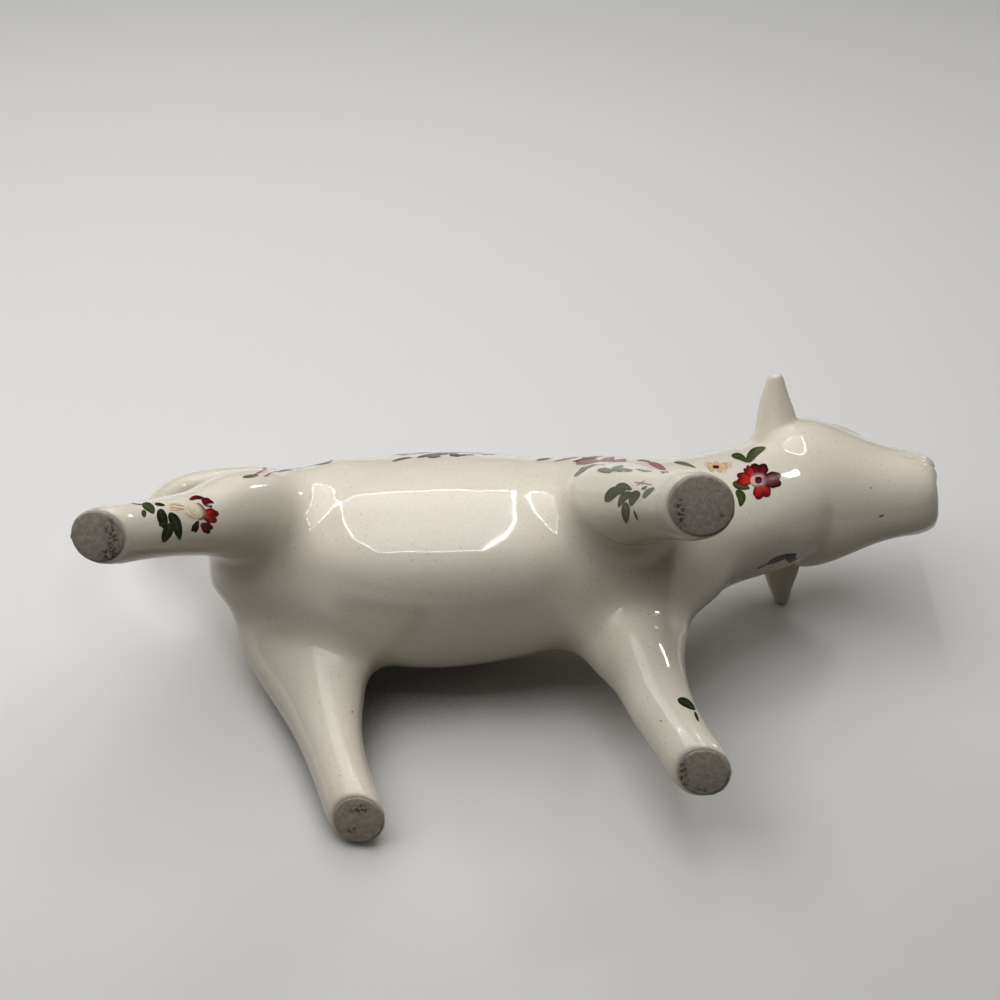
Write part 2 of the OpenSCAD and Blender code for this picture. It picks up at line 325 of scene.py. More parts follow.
# Where a thumb has pressed the clay out or in: from, to, how far round, and which way, in millimetres
presses = [
    ((-50, -25, 33), (-50, -25, 33), 15, (0.1, -2.2, 0.9)),         # right hip
    ((-40, -22, 53), (-40, -22, 53), 13, (0.1, -1.6, 0.8)),
    ((20, -22, 58), (20, -22, 58), 17, (0.0, -2.0, 1.0)),           # right shoulder
    ((-50, 24, 33), (-50, 24, 33), 15, (0.0, 1.2, 0.5)),            # left hip
    ((-40, 22, 53), (-40, 22, 53), 13, (0.0, 1.0, 0.5)),
    ((91, 0, 80), (91, 0, 80), 12, (1.1, 0, 0)),                    # muzzle's end
    ((17, 15, 27), (17, 15, 27), 15, (1.5, 0.0, 0.3)),              # behind the left front leg
    ((37, 5, 45), (37, 5, 45), 13, (1.6, 2.4, -0.9)),               # chest
    ((50, 6, 58), (50, 6, 58), 14, (0.0, -2.1, 0.8)),
    ((27, 8, 27.5), (27, 8, 27.5), 11, (-0.15, -1.6, -0.75)),       # top of the left front leg
    ((-32, -9, 28.5), (6, -9, 28.5), 11, (0.0, -0.5, -1.0)),        # belly
    ((-30, 7, 28), (4, 7, 28), 11, (0.0, -0.6, 1.1)),
]
nodeNames = ["trunk_casting", "head_casting", "leg_front_left", "leg_front_right", "leg_hind_left",
             "leg_hind_right", "tail_handle", "ear_left", "ear_right"]
family = {n: n.split("_")[0] for n in nodeNames}


def mergedCopy(name):
    shape = bmesh.new()
    shape.from_mesh(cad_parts[name].data)
    bmesh.ops.remove_doubles(shape, verts=shape.verts, dist=clay["merge"])
    shape.normal_update()
    return shape


def fuse():
    whole = bmesh.new()
    trees = {}
    for name in nodeNames:
        part = mergedCopy(name)
        trees[name] = BVHTree.FromBMesh(part)
        for v, n in [(v, v.normal.copy()) for v in part.verts]:
            v.co += n * clay["swell"]
        mesh = meshOf(part, "part")
        whole.from_mesh(mesh)
        bpy.data.meshes.remove(mesh)
    rough = meshOf(whole, "rough")
    lump = linked("lump", rough)
    remesh = lump.modifiers.new("remesh", "REMESH")
    remesh.mode, remesh.voxel_size, remesh.adaptivity = "VOXEL", clay["voxel"], 0
    skin = bpy.data.meshes.new_from_object(lump.evaluated_get(bpy.context.evaluated_depsgraph_get()))
    bpy.data.objects.remove(lump)
    bpy.data.meshes.remove(rough)
    return skin, trees


def readArray(collection, name, width, kind=float):
    flat = np.zeros(len(collection) * width, kind)
    collection.foreach_get(name, flat)
    return flat.reshape(-1, width) if width > 1 else flat


def neighbourCount(edges, n):
    return np.bincount(edges[:, 0], minlength=n) + np.bincount(edges[:, 1], minlength=n)


def relax(points, edges, share, passes):
    # Moves each point towards the middle of its neighbours, by its own share, again and again
    a, b = edges[:, 0], edges[:, 1]
    n = len(points)
    count = neighbourCount(edges, n)
    for _ in range(passes):
        total = np.stack([np.bincount(a, points[b, k], n) + np.bincount(b, points[a, k], n)
                          for k in range(3)], 1)
        points = points + share[:, None] * (total / count[:, None] - points)
    return points


def blur(values, edges, passes):
    a, b = edges[:, 0], edges[:, 1]
    n = len(values)
    count = neighbourCount(edges, n) + 1
    for _ in range(passes):
        values = (np.bincount(a, values[b], n) + np.bincount(b, values[a], n) + values) / count
    return values


def distances(points, trees):
    # How far each point lies from each casting, looked up only near it
    far = np.full((len(points), len(nodeNames)), clay["near"])
    for k, name in enumerate(nodeNames):
        low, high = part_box(name)
        near = ((points > np.array(low) - clay["near"]) & (points < np.array(high) + clay["near"])).all(1)
        for i in np.nonzero(near)[0]:
            found = trees[name].find_nearest(points[i], clay["near"])
            if found[0] is not None:
                far[i, k] = found[3]
    return far


def spread(mesh, name, values):
    mesh.attributes.new(name, "FLOAT", "POINT").data.foreach_set("value", values.astype(np.float32))


# Eyes, nostrils and lips are pressed into the fused surface
face = {
    "eyeAt": (0.0720, 0.0905), "eyeAlong": (0.99, -0.14), "eyeHalf": (0.0031, 0.0018),
    "eyeFrom": 0.06, "eyeReach": 0.008, "eyePowers": (1.6, 1.4),
    "eyeball": 0.00060, "eyeballRing": 0.8,
    "lid": (0.00050, 1.05, 0.35), "lidGroove": (0.00025, 0.74, 0.14),     # height, ring, width of the ring
    "nostrilAt": (0.0048, 0.0882), "nostrilFrom": 0.085, "nostrilReach": 0.0017, "nostrilDepth": 0.0011,
    "mouthHeight": 0.0803, "mouthFrom": 0.0830, "mouthFade": 0.004, "mouthSide": 0.0042, "sideFade": 0.001,
    "slit": 0.00055, "slitHalf": 0.0008, "lip": 0.00035, "lipRise": 2.4,
}
soles = {   # middle x and y, radius of the leg's end, radius of the bare clay
    "front_right": (0.04107, -0.03176, 0.0066, 0.0060), "front_left": (0.03947, 0.02325, 0.0058, 0.0049),
    "hind_left": (-0.02893, 0.03255, 0.0058, 0.0050), "hind_right": (-0.07293, -0.02946, 0.0058, 0.0052),
}
feet = {
    "glazeGap": 0.0003, "around": 1.3,     # how far above the clay the glaze stops, and how far round
    "rounded": 0.0028, "passes": 7,        # the legs' ends are rounded below this
    "thin": 0.0007, "bareBelow": 0.002,    # where the glaze thins out
    "rim": 0.00045, "rimSteps": 3, "depth": 0.0010, "segments": 72, "sharp": 0.6,
}
ears = {
    "flare": 0.80, "point": 0.45, "taperFrom": 0.50, "taperTo": 1.05, "passes": 10, "longer": 0.0009,
    "blur": 5, "tipPart": 0.001, "rootPart": 0.002, "stop": -0.3,
}


def shapeEars(points, edges, owner):
    # Each ear widens towards its root and closes to a rounded tip
    for k in (nodeNames.index("ear_left"), nodeNames.index("ear_right")):
        mine = owner == k
        share = blur(mine.astype(float), edges, ears["blur"])
        points = relax(points, edges, 0.5 * share, ears["passes"])
        reach = np.abs(points[:, 1])
        tip = points[mine & (reach > reach[mine].max() - ears["tipPart"])].mean(0)
        root = points[mine & (reach < reach[mine].min() + ears["rootPart"])].mean(0)
        length = np.linalg.norm(tip - root)
        axis = (tip - root) / length
        t = (points - root) @ axis / length
        radial = points - root - ((points - root) @ axis)[:, None] * axis
        size = 1 + ears["flare"] * np.clip(1 - t, 0, 1) ** 2
        taper = np.clip((t - ears["taperFrom"]) / (ears["taperTo"] - ears["taperFrom"]), 0, 1)
        size *= np.sqrt(1 - ears["point"] * taper ** 2)
        points = points + radial * ((size - 1) * share * (t > ears["stop"]))[:, None]
        points = points + axis * (ears["longer"] * share * np.clip(t, 0, 1) ** 2)[:, None]
    return points


def carveFace(skin, points):
    shape = bmesh.new()
    shape.from_mesh(skin)
    tree = BVHTree.FromBMesh(shape)
    shape.free()
    normals = readArray(skin.vertex_normals, "vector", 3)
    height = np.zeros(len(points))
    eyeX, eyeZ = face["eyeAt"]
    for side in (-1, 1):
        at, out = tree.ray_cast(Vector((eyeX, side * face["eyeFrom"], eyeZ)), Vector((0, -side, 0)))[:2]
        along = Vector((face["eyeAlong"][0], 0, face["eyeAlong"][1]))
        along = (along - out * along.dot(out)).normalized()
        up = out.cross(along) * -side
        rel = points - np.array(at)
        u = np.abs(rel @ np.array(along)) / face["eyeHalf"][0]
        v = np.abs(rel @ np.array(up)) / face["eyeHalf"][1]
        ring = u ** face["eyePowers"][0] + v ** face["eyePowers"][1]
        ring = np.where(np.linalg.norm(rel, axis=1) < face["eyeReach"], ring, 9.0)
        height += face["eyeball"] * np.clip(1 - (ring / face["eyeballRing"]) ** 2, 0, 1)
        high, middle, wide = face["lid"]
        height += high * np.exp(-((ring - middle) / wide) ** 2)
        deep, middle, wide = face["lidGroove"]
        height -= deep * np.exp(-((ring - middle) / wide) ** 2)
        y, z = face["nostrilAt"]
        away = np.hypot(points[:, 1] - side * y, points[:, 2] - z) / face["nostrilReach"]
        height -= np.where(points[:, 0] > face["nostrilFrom"], face["nostrilDepth"] * np.exp(-away ** 2), 0)
    muzzle = np.clip((points[:, 0] - face["mouthFrom"]) / face["mouthFade"], 0, 1)
    muzzle *= np.clip((np.abs(points[:, 1]) - face["mouthSide"]) / face["sideFade"], 0, 1)
    rise = (points[:, 2] - face["mouthHeight"]) / face["slitHalf"]
    lips = face["lip"] * np.exp(-(np.abs(rise) - face["lipRise"]) ** 2) - face["slit"] * np.exp(-rise ** 2)
    return points + normals * (height + muzzle * lips)[:, None]


def liftFeet(points):
    # The glaze stops a little above what the jug stands on
    for x, y, radius, _ in soles.values():
        foot = np.hypot(points[:, 0] - x, points[:, 1] - y) < radius * feet["around"]
        points[:, 2] = np.where(foot, np.maximum(points[:, 2], feet["glazeGap"]), points[:, 2])


def makeSkin():
    skin, trees = fuse()
    points = readArray(skin.vertices, "co", 3)
    edges = readArray(skin.edges, "vertices", 2, np.int32)
    far = distances(points, trees)
    owner = far.argmin(1)
    print("fused", len(points), "points")
    even = np.array([clay["evenShare"][family[n]] for n in nodeNames])[owner]
    even = np.where(points[:, 2] < clay["footHeight"], clay["footShare"], even)
    points = relax(points, edges, 0.5 * blur(even, edges, clay["evenBlur"]), clay["evenPasses"])
    points = shapeEars(points, edges, owner)
    for kind, other, reach, passes in clay["seams"]:
        mine = [k for k, n in enumerate(nodeNames) if family[n] == kind]
        theirs = [k for k, n in enumerate(nodeNames) if family[n] == other]
        seam = np.maximum(far[:, mine].min(1), far[:, theirs].min(1))
        share = 0.5 * blur(np.clip(1 - seam / reach, 0, 1) ** clay["seamPower"], edges, clay["seamBlur"])
        points = relax(points, edges, share, passes)
    for start, end, reach, way in presses:
        start, along = np.array(start, float), np.array(end, float) - start
        t = np.clip((points * 1000 - start) @ along / max(along @ along, 1), 0, 1)
        away = np.linalg.norm(points * 1000 - start - t[:, None] * along, axis=1) / reach
        points = points + np.array(way) / 1000 * (np.clip(1 - away ** 2, 0, 1) ** 2)[:, None]
    skin.vertices.foreach_set("co", points.ravel())
    skin.update()
    points = carveFace(skin, points)
    liftFeet(points)
    points = relax(points, edges, 0.5 * (points[:, 2] < feet["rounded"]), feet["passes"])
    liftFeet(points)
    bare = np.zeros(len(points))
    for x, y, _, clayRadius in soles.values():
        ring = np.hypot(points[:, 0] - x, points[:, 1] - y) - clayRadius
        bare = np.maximum(bare, np.clip(1 - ring / feet["thin"], 0, 1) * (points[:, 2] < feet["bareBelow"]))
    skin.vertices.foreach_set("co", points.ravel())
    skin.update()
    normals = readArray(skin.vertex_normals, "vector", 3)
    sunk = relax(points, edges, np.full(len(points), 0.5), clay["hollowPasses"]) - points
    bent = blur((sunk * normals).sum(1), edges, clay["hollowBlur"])
    spread(skin, "hollowness", np.clip(bent / clay["hollowDepth"], -1, 1))
    spread(skin, "bare", bare)
    store = skin.attributes.new("glazeNormal", "FLOAT_VECTOR", "POINT")
    store.data.foreach_set("vector", normals.ravel())
    return skin, edges, owner


def rimLoops(part):
    # The open edges of a cut piece, one list for each opening
    rims, seen = [], set()
    for first in [e for e in part.edges if e.is_boundary]:
        if first in seen:
            continue
        rim, ahead = [], [first]
        seen.add(first)
        while ahead:
            edge = ahead.pop()
            rim.append(edge)
            for other in [e for v in edge.verts for e in v.link_edges if e.is_boundary and e not in seen]:
                seen.add(other)
                ahead.append(other)
        rims.append(rim)
    return rims


def shadeAsGlaze(mesh):
    mesh.shade_smooth()
    mesh.normals_split_custom_set_from_vertices(readArray(mesh.attributes["glazeNormal"].data, "vector", 3))


def cutUp(skin, edges, owner, glaze):
    # One piece for each casting, closed along its seams, shaded as one surface
    for _ in range(clay["ownerBlur"]):
        votes = np.stack([blur((owner == k).astype(float), edges, clay["ownerBlur"])
                          for k in range(len(nodeNames))], 1)
        owner = votes.argmax(1)
    corners = readArray(skin.loops, "vertex_index", 1, np.int32).reshape(-1, 4)
    votes = np.stack([(owner[corners] == k).sum(1) for k in range(len(nodeNames))], 1)
    faceOwner = votes.argmax(1)
    skin.attributes.new("owner", "INT", "FACE").data.foreach_set("value", faceOwner.astype(np.int32))
    lastOwner = np.zeros((len(owner), len(nodeNames)), bool)
    lastOwner[corners.ravel(), np.repeat(faceOwner, 4)] = True
    neck = lastOwner[:, nodeNames.index("trunk_casting")] & lastOwner[:, nodeNames.index("head_casting")]
    skin.attributes.new("neckSeam", "INT", "POINT").data.foreach_set("value", neck.astype(np.int32))
    for k, name in enumerate(nodeNames):
        part = bmesh.new()
        part.from_mesh(skin)
        mine = part.faces.layers.int["owner"]
        bmesh.ops.delete(part, geom=[f for f in part.faces if f[mine] != k], context="FACES")
        neckSeam = part.verts.layers.int["neckSeam"]
        outward = part.verts.layers.float_vector["glazeNormal"]
        walls = bmesh.ops.extrude_edge_only(part, edges=[e for e in part.edges if e.is_boundary])["geom"]
        for v in walls:
            if isinstance(v, bmesh.types.BMVert):
                v.co -= v[outward] * clay["tuck"]
        rims = rimLoops(part)
        neckRims = [rim for rim in rims if any(v[neckSeam] for e in rim for v in e.verts)]
        print("rims of", name, [len(rim) for rim in rims], "at the neck", [len(rim) for rim in neckRims])
        if len(neckRims) == 2:
            bmesh.ops.bridge_loops(part, edges=neckRims[0] + neckRims[1])
        bmesh.ops.holes_fill(part, edges=[e for e in part.edges if e.is_boundary])
        bmesh.ops.triangulate(part, faces=[f for f in part.faces if len(f.verts) > 4])
        bmesh.ops.recalc_face_normals(part, faces=part.faces)
        gaps = sum(e.is_boundary for e in part.edges)
        mesh = meshOf(part, name + "_glazed")
        shadeAsGlaze(mesh)
        mesh.materials.append(glaze)
        piece = linked(name + "_glazed", mesh)
        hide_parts(name)
        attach(piece, "root")
        print("cut", name, len(mesh.polygons), "faces, open edges", gaps)


# Sprigs painted on the glaze
paints = {
    "moss": (0.050, 0.066, 0.020), "bottle": (0.018, 0.026, 0.010), "sage": (0.145, 0.165, 0.105),
    "bright": (0.50, 0.026, 0.022), "wine": (0.155, 0.008, 0.017), "plum": (0.060, 0.006, 0.011),
    "rim": (0.74, 0.40, 0.37), "seed": (0.045, 0.006, 0.009), "ochre": (0.52, 0.36, 0.15),
    "straw": (0.66, 0.50, 0.27), "cream": (0.78, 0.70, 0.53), "peach": (0.80, 0.63, 0.50),
    "mauve": (0.36, 0.17, 0.20), "umber": (0.085, 0.050, 0.028),
}
sprig = {
    "lift": 0.00003, "strokeLift": 0.000004, "mostLift": 0.00006,   # later strokes stand off further
    "stretch": 3.2, "slack": 0.0004,   # a stroke is drawn out along the clay by no more than this
    "pulls": 32, "grid": (14, 8), "merge": 2e-6,
    "slipMost": 20.0, "slipMore": 1.5,   # pixels that a stroke may slip down the picture to find clay
    "photoSize": 1000,
}
flower = {"petals": 5, "petalHalf": 0.42, "petalFrom": 0.18, "ring": 0.36, "seed": 0.16, "seedLine": 0.17}
brush = {
    "notch": 0.16, "notchHalf": 0.24, "shoulders": 0.42,
    "petalRoot": 0.16, "petalWidest": 0.74, "petalSwell": 1.3,
    "leafLean": 0.85, "leafFull": 0.8, "lineEnds": 6, "step": 0.02,
}


def blossom(x, y, across, turn, petal="bright", dark="wine", ring="rim", seed="seed", enamel="red"):
    # Five notched petals round a ringed eye
    middle = np.array((x, y))
    strokes = []
    for k in range(flower["petals"]):
        a = turn + k * 2 * np.pi / flower["petals"]
        way = np.array((np.cos(a), np.sin(a)))
        line = [tuple(middle + way * across * flower["petalFrom"]), tuple(middle + way * across)]
        strokes.append((enamel, "petal", dark if k == 0 else petal, across * flower["petalHalf"], line))
    for paint, half, reach in ((ring, "ring", "ring"), (seed, "seed", "seedLine")):
        reach = across * flower[reach]
        strokes.append((enamel, "round", paint, across * flower[half], [(x - reach, y), (x + reach, y)]))
    return strokes


# Strokes seen in the photograph, placed by its pixels: enamel, shape, paint, half width, line
seenStrokes = [
    # right hind leg
    ("leaf", "line", "moss", 0.5, [(131, 503), (138, 504.3), (146, 504.6)]),
    ("leaf", "leaf", "moss", 4.3, [(142, 504.2), (150, 508), (153.5, 514)]),
    ("leaf", "leaf", "moss", 2.4, [(143.4, 509.8), (144.4, 517.6)]),
    ("leaf", "leaf", "bottle", 1.7, [(154.5, 503.8), (165.2, 505.4)]),
    ("leaf", "leaf", "bottle", 5.2, [(159.6, 508.8), (162.5, 519), (165.5, 529.5)]),
    ("leaf", "leaf", "bottle", 5.4, [(169.2, 512.6), (176, 524), (180.0, 540)]),
    ("leaf", "leaf", "bottle", 5.2, [(171, 523), (167, 533), (162.8, 542.5)]),
    ("leaf", "leaf", "bottle", 3.4, [(166, 521), (158.8, 525.5)]),
    ("yellow", "petal", "peach", 4.2, [(184.5, 507.5), (168.5, 506.6)]),
    ("yellow", "line", "ochre", 0.55, [(171, 504.4), (184, 506.4)]),
    ("yellow", "line", "ochre", 0.55, [(171, 507.6), (183.5, 509.4)]),
    ("yellow", "petal", "cream", 8.6, [(184.6, 511), (201, 511)]),
    ("red", "round", "rim", 6.2, [(194.5, 504), (203.5, 519)]),
    ("yellow", "round", "cream", 5.4, [(190.5, 504), (200.5, 518)]),
    ("red", "leaf", "wine", 2.0, [(189, 499.8), (196, 497.6), (205, 498.6)]),
    ("red", "petal", "wine", 4.4, [(201, 498.5), (205.5, 501.5), (213.2, 505.5)]),
    ("red", "petal", "wine", 6.0, [(200.5, 524), (205.5, 527), (211.5, 531)]),
    ("red", "petal", "plum", 3.8, [(198.5, 520.5), (195.8, 526), (193.2, 532.4)]),
    ("red", "petal", "bright", 8.0, [(199.8, 513), (208, 515), (218.2, 518)]),
    # neck: pale flower, red flower and their leaves
    ("leaf", "leaf", "sage", 1.7, [(673.7, 462.2), (685, 464), (696.2, 467.8)]),
    ("yellow", "petal", "peach", 3.6, [(716, 467), (704, 463.5)]),
    ("yellow", "petal", "peach", 3.4, [(716, 467), (727, 470.6)]),
    ("yellow", "petal", "peach", 3.6, [(716, 467), (732.5, 464.5)]),
    ("yellow", "petal", "straw", 3.4, [(715.8, 467), (706.8, 465.6)]),
    ("yellow", "petal", "straw", 3.6, [(715.8, 467), (716.5, 461.8)]),
    ("yellow", "petal", "straw", 3.6, [(715.8, 467), (728.2, 465.6)]),
    ("yellow", "petal", "straw", 3.4, [(715.8, 467), (722, 471.4)]),
    ("yellow", "petal", "straw", 3.0, [(715.8, 467), (709, 470.2)]),
    ("red", "round", "wine", 1.7, [(712.2, 467), (719.4, 467.4)]),
    ("leaf", "leaf", "moss", 3.3, [(731.3, 455.8), (740, 457), (747.6, 462.6)]),
    ("leaf", "leaf", "moss", 4.5, [(747.2, 462.8), (754, 453), (765.8, 447.6)]),
    ("leaf", "leaf", "moss", 4.2, [(732.6, 482.8), (740, 485.6), (750, 488.6)]),
    ("leaf", "leaf", "moss", 4.4, [(736.2, 490.2), (741.4, 497), (740.2, 507)]),
    ("red", "petal", "bright", 7.4, [(757, 480), (736.0, 478.4)]),
    ("red", "petal", "wine", 10.4, [(758.6, 479.5), (759.0, 463.2)]),
    ("red", "petal", "bright", 5.0, [(756, 478), (745, 467)]),
    ("red", "petal", "wine", 9.0, [(759, 480.5), (781.6, 479.6)]),
    ("red", "petal", "bright", 10.0, [(758.6, 481), (763.8, 498.6)]),
    ("red", "round", "rim", 7.6, [(750.2, 480.4), (766.4, 480.2)]),
    ("red", "round", "seed", 3.5, [(754.6, 480.4), (762.0, 480.2)]),
    # left side of the neck, seen under the jaw
    ("leaf", "line", "umber", 0.5, [(756.5, 569), (768, 563.4)]),
    ("red", "leaf", "umber", 2.6, [(767, 564), (780, 558), (796, 553.6)]),
    ("red", "leaf", "plum", 2.2, [(786, 560.5), (796.5, 553.5)]),
    ("red", "leaf", "plum", 1.5, [(788, 562.2), (797, 558)]),
    # shoulder
    ("leaf", "leaf", "moss", 5.0, [(605.6, 501.8), (614, 492), (627, 489)]),
    ("leaf", "leaf", "moss", 3.4, [(615.5, 487.6), (624, 486.2), (632.4, 489.8)]),
    ("leaf", "leaf", "moss", 4.0, [(632.6, 493.2), (624, 497), (618.2, 507.6)]),
    ("leaf", "leaf", "moss", 4.2, [(626, 502), (625.6, 512), (626.4, 523.6)]),
    ("leaf", "leaf", "moss", 4.6, [(640, 491.8), (634, 497), (630.4, 506.6)]),
    ("leaf", "leaf", "moss", 1.2, [(633.6, 510), (638.2, 520.8)]),
    ("leaf", "leaf", "sage", 2.7, [(643, 498.4), (648, 492), (655, 487.6)]),
    ("leaf", "leaf", "sage", 1.5, [(641.5, 489.5), (647.5, 486.5)]),
    ("mauve", "line", "mauve", 0.5, [(633.8, 482.1), (642, 483.4), (652.5, 485)]),
    ("mauve", "line", "mauve", 0.4, [(637, 485.4), (645, 480.6)]),
    ("leaf", "leaf", "moss", 2.2, [(573.8, 476.8), (588, 467.6), (605, 465.4)]),
    ("leaf", "leaf", "sage", 1.3, [(579, 470), (592, 465.6)]),
    ("leaf", "leaf", "sage", 3.0, [(597, 470.6), (612, 470), (624, 465.6)]),
    ("leaf", "leaf", "sage", 2.4, [(612, 467.4), (622, 470.2), (633, 470.4)]),
    ("leaf", "leaf", "sage", 2.4, [(632, 467), (648, 471), (662, 482.6)]),
    ("mauve", "petal", "mauve", 2.4, [(600, 460.6), (575.4, 463.4)]),
    ("mauve", "petal", "mauve", 2.6, [(600, 460.6), (615, 458.6)]),
    ("mauve", "petal", "mauve", 2.2, [(612, 461.4), (627, 460.2)]),
    ("leaf", "leaf", "umber", 1.0, [(636.4, 460.2), (648, 461.4), (657, 466.8)]),
    ("mauve", "leaf", "mauve", 2.6, [(648, 462.6), (660, 467), (668, 474)]),
    ("red", "leaf", "wine", 2.8, [(658, 467), (665, 472), (672, 477.6)]),
    ("leaf", "leaf", "sage", 1.4, [(581.5, 455), (597.5, 454.8)]),
    ("leaf", "leaf", "umber", 0.8, [(572, 457.6), (588, 453.6), (605.6, 450.9)]),
    ("mauve", "leaf", "mauve", 0.7, [(553.6, 458.2), (566, 455.6), (579, 453.6)]),
    ("leaf", "leaf", "umber", 0.9, [(535.7, 460.4), (551, 458.4)]),
    # flank, edge on
    ("leaf", "leaf", "sage", 1.5, [(242.3, 477.4), (258.8, 475.2)]),
    ("mauve", "leaf", "mauve", 0.8, [(251, 474), (265, 467.4), (279.4, 462.4)]),
    ("mauve", "leaf", "mauve", 1.1, [(262.9, 472.6), (278, 467), (293, 465)]),
    ("leaf", "leaf", "umber", 0.8, [(256, 471.6), (272, 465.6)]),
    ("leaf", "leaf", "sage", 1.0, [(391.8, 461.6), (402, 459), (412.3, 457.6)]),
    ("leaf", "leaf", "umber", 1.2, [(416.5, 457.8), (432, 455), (449.4, 453.8)]),
    ("leaf", "leaf", "sage", 1.6, [(427, 456.8), (441, 456.4)]),
    ("leaf", "line", "umber", 0.5, [(449, 453.6), (462, 452.4), (475, 452.4)]),
    ("leaf", "leaf", "umber", 0.7, [(449, 454.8), (460, 457)]),
    # left front leg and the flecks on the jaw and the legs
    ("leaf", "leaf", "bottle", 4.3, [(677.6, 699.2), (686, 703), (695.4, 710)]),
    ("leaf", "leaf", "bottle", 1.4, [(694.4, 711.6), (698.6, 722)]),
    ("leaf", "leaf", "umber", 0.9, [(878.8, 517), (884.2, 514.6)]),
    ("leaf", "round", "umber", 0.7, [(870.2, 488), (871.8, 488)]),
    ("leaf", "round", "umber", 0.8, [(660.2, 721), (661.8, 721)]),
    ("leaf", "round", "umber", 0.8, [(351.2, 712), (352.8, 712)]),
]
# A posy for the sides that the photograph does not show, in millimetres about its red flower
posy = [
    *blossom(0, 0, 4.0, 0.3),
    *blossom(-7.0, 1.6, 3.1, 0.8, "straw", "ochre", "peach", "wine", "yellow"),
    *blossom(6.4, 3.0, 2.5, 0.1, "mauve", "mauve", "rim", "seed", "mauve"),
    ("leaf", "line", "moss", 0.16, [(-3.4, -0.6), (-6.5, -3.2), (-10.5, -3.9)]),
    ("leaf", "line", "moss", 0.16, [(3.2, 1.0), (5.2, -1.8), (9.6, -2.6)]),
    ("leaf", "leaf", "moss", 1.25, [(-1.2, 3.8), (-2.4, 6.2), (-5.2, 7.6)]),
    ("leaf", "leaf", "moss", 1.15, [(0.6, 4.0), (1.8, 6.4), (1.4, 8.8)]),
    ("leaf", "leaf", "moss", 1.25, [(-2.6, -3.2), (-3.6, -6.0), (-2.6, -8.0)]),
    ("leaf", "leaf", "bottle", 1.15, [(1.4, -3.8), (2.8, -5.8), (5.6, -6.6)]),
    ("leaf", "leaf", "moss", 1.10, [(-9.6, 0.2), (-12.2, -0.6), (-13.6, -2.8)]),
    ("leaf", "leaf", "sage", 1.0, [(-8.6, 4.4), (-10.4, 6.2), (-10.2, 8.4)]),
    ("leaf", "leaf", "moss", 1.10, [(8.6, 4.2), (11.0, 4.6), (12.8, 3.0)]),
    ("leaf", "leaf", "bottle", 1.0, [(7.0, 5.2), (7.6, 7.4), (9.8, 8.4)]),
    ("leaf", "leaf", "sage", 0.8, [(9.2, -2.4), (11.4, -2.2), (12.6, -3.8)]),
    ("mauve", "leaf", "mauve", 0.7, [(-10.2, -3.8), (-12.6, -4.2)]),
    ("mauve", "leaf", "mauve", 0.6, [(9.4, -2.7), (11.0, -4.2)]),
]
twig = [
    *blossom(0, 0, 2.9, 0.5),
    ("leaf", "leaf", "moss", 1.1, [(-2.4, 1.6), (-4.8, 2.6), (-6.4, 1.6)]),
    ("leaf", "leaf", "moss", 1.1, [(2.2, -1.8), (4.2, -3.4), (6.6, -3.2)]),
    ("leaf", "leaf", "bottle", 0.9, [(1.6, 2.4), (2.2, 4.6), (4.4, 5.6)]),
    ("leaf", "leaf", "moss", 0.9, [(-1.8, -2.2), (-2.4, -4.4), (-4.6, -5.6)]),
    ("yellow", "petal", "straw", 0.9, [(5.0, 1.0), (7.2, 2.0)]),
    ("yellow", "petal", "straw", 0.9, [(5.0, 1.0), (7.0, -0.4)]),
]
# Where they go: strokes, a point in front of the place, the way towards the glaze, the sprig's top, size
unseenSprigs = [
    (posy, (-12, 60, 58), (0, -1, 0), (0, 0, 1), 1.0),
    (posy, (24, 60, 50), (-0.1, -1, 0), (0.35, 0, 1), 0.85),
    (twig, (-50, 60, 44), (0.2, -1, 0), (-0.3, 0, 1), 1.0),
    (twig, (50, 60, 74), (0, -1, 0), (0.4, 0, 1), 0.95),
    (posy, (-14, -60, 67), (0, 1, -0.15), (0, 0, 1), 0.8),
    (twig, (-48, -60, 60), (0.1, 1, -0.1), (-0.3, 0, 1), 0.85),
    (twig, (-120, 9, 56), (1, 0, 0), (0, 0.2, 1), 0.9),
    (twig, (19, 3, 120), (0, 0, -1), (1, 0.3, 0), 0.8),
    (twig, (-36, 60, 22), (0, -1, 0), (0.2, 0, 1), 0.7),
]


def lineAt(line, t):
    # A point of the stroke's middle line, smooth through its points
    s = t * (len(line) - 1)
    i = min(int(s), len(line) - 2)
    f = s - i
    a, b, c, d = (np.array(line[min(max(i + k, 0), len(line) - 1)], float) for k in (-1, 0, 1, 2))
    return (2 * b + (c - a) * f + (2 * a - 5 * b + 4 * c - d) * f ** 2 + (3 * b - a - 3 * c + d) * f ** 3) / 2


def strokePlace(kind, half, line, along, across):
    # Where a point of the unit stroke goes in the sprig's own plane
    if kind == "petal":
        notch = brush["notch"] * np.exp(-(across / brush["notchHalf"]) ** 2)
        along = along * (1 - notch - brush["shoulders"] * across ** 4)
        swell = np.sin(min(along / brush["petalWidest"], 1) * np.pi / 2) ** brush["petalSwell"]
        width = brush["petalRoot"] + (1 - brush["petalRoot"]) * swell
    elif kind == "leaf":
        width = np.sin(np.pi * min(max(along, 0), 1) ** brush["leafLean"]) ** brush["leafFull"]
    elif kind == "round":
        width = np.sqrt(max(0.0, 1 - (2 * along - 1) ** 2))
    else:
        width = 1 - abs(2 * along - 1) ** brush["lineEnds"]
    way = lineAt(line, min(along + brush["step"], 1)) - lineAt(line, max(along - brush["step"], 0))
    way = way / max(np.hypot(*way), 1e-9)
    return lineAt(line, along) + np.array((-way[1], way[0])) * across * half * width


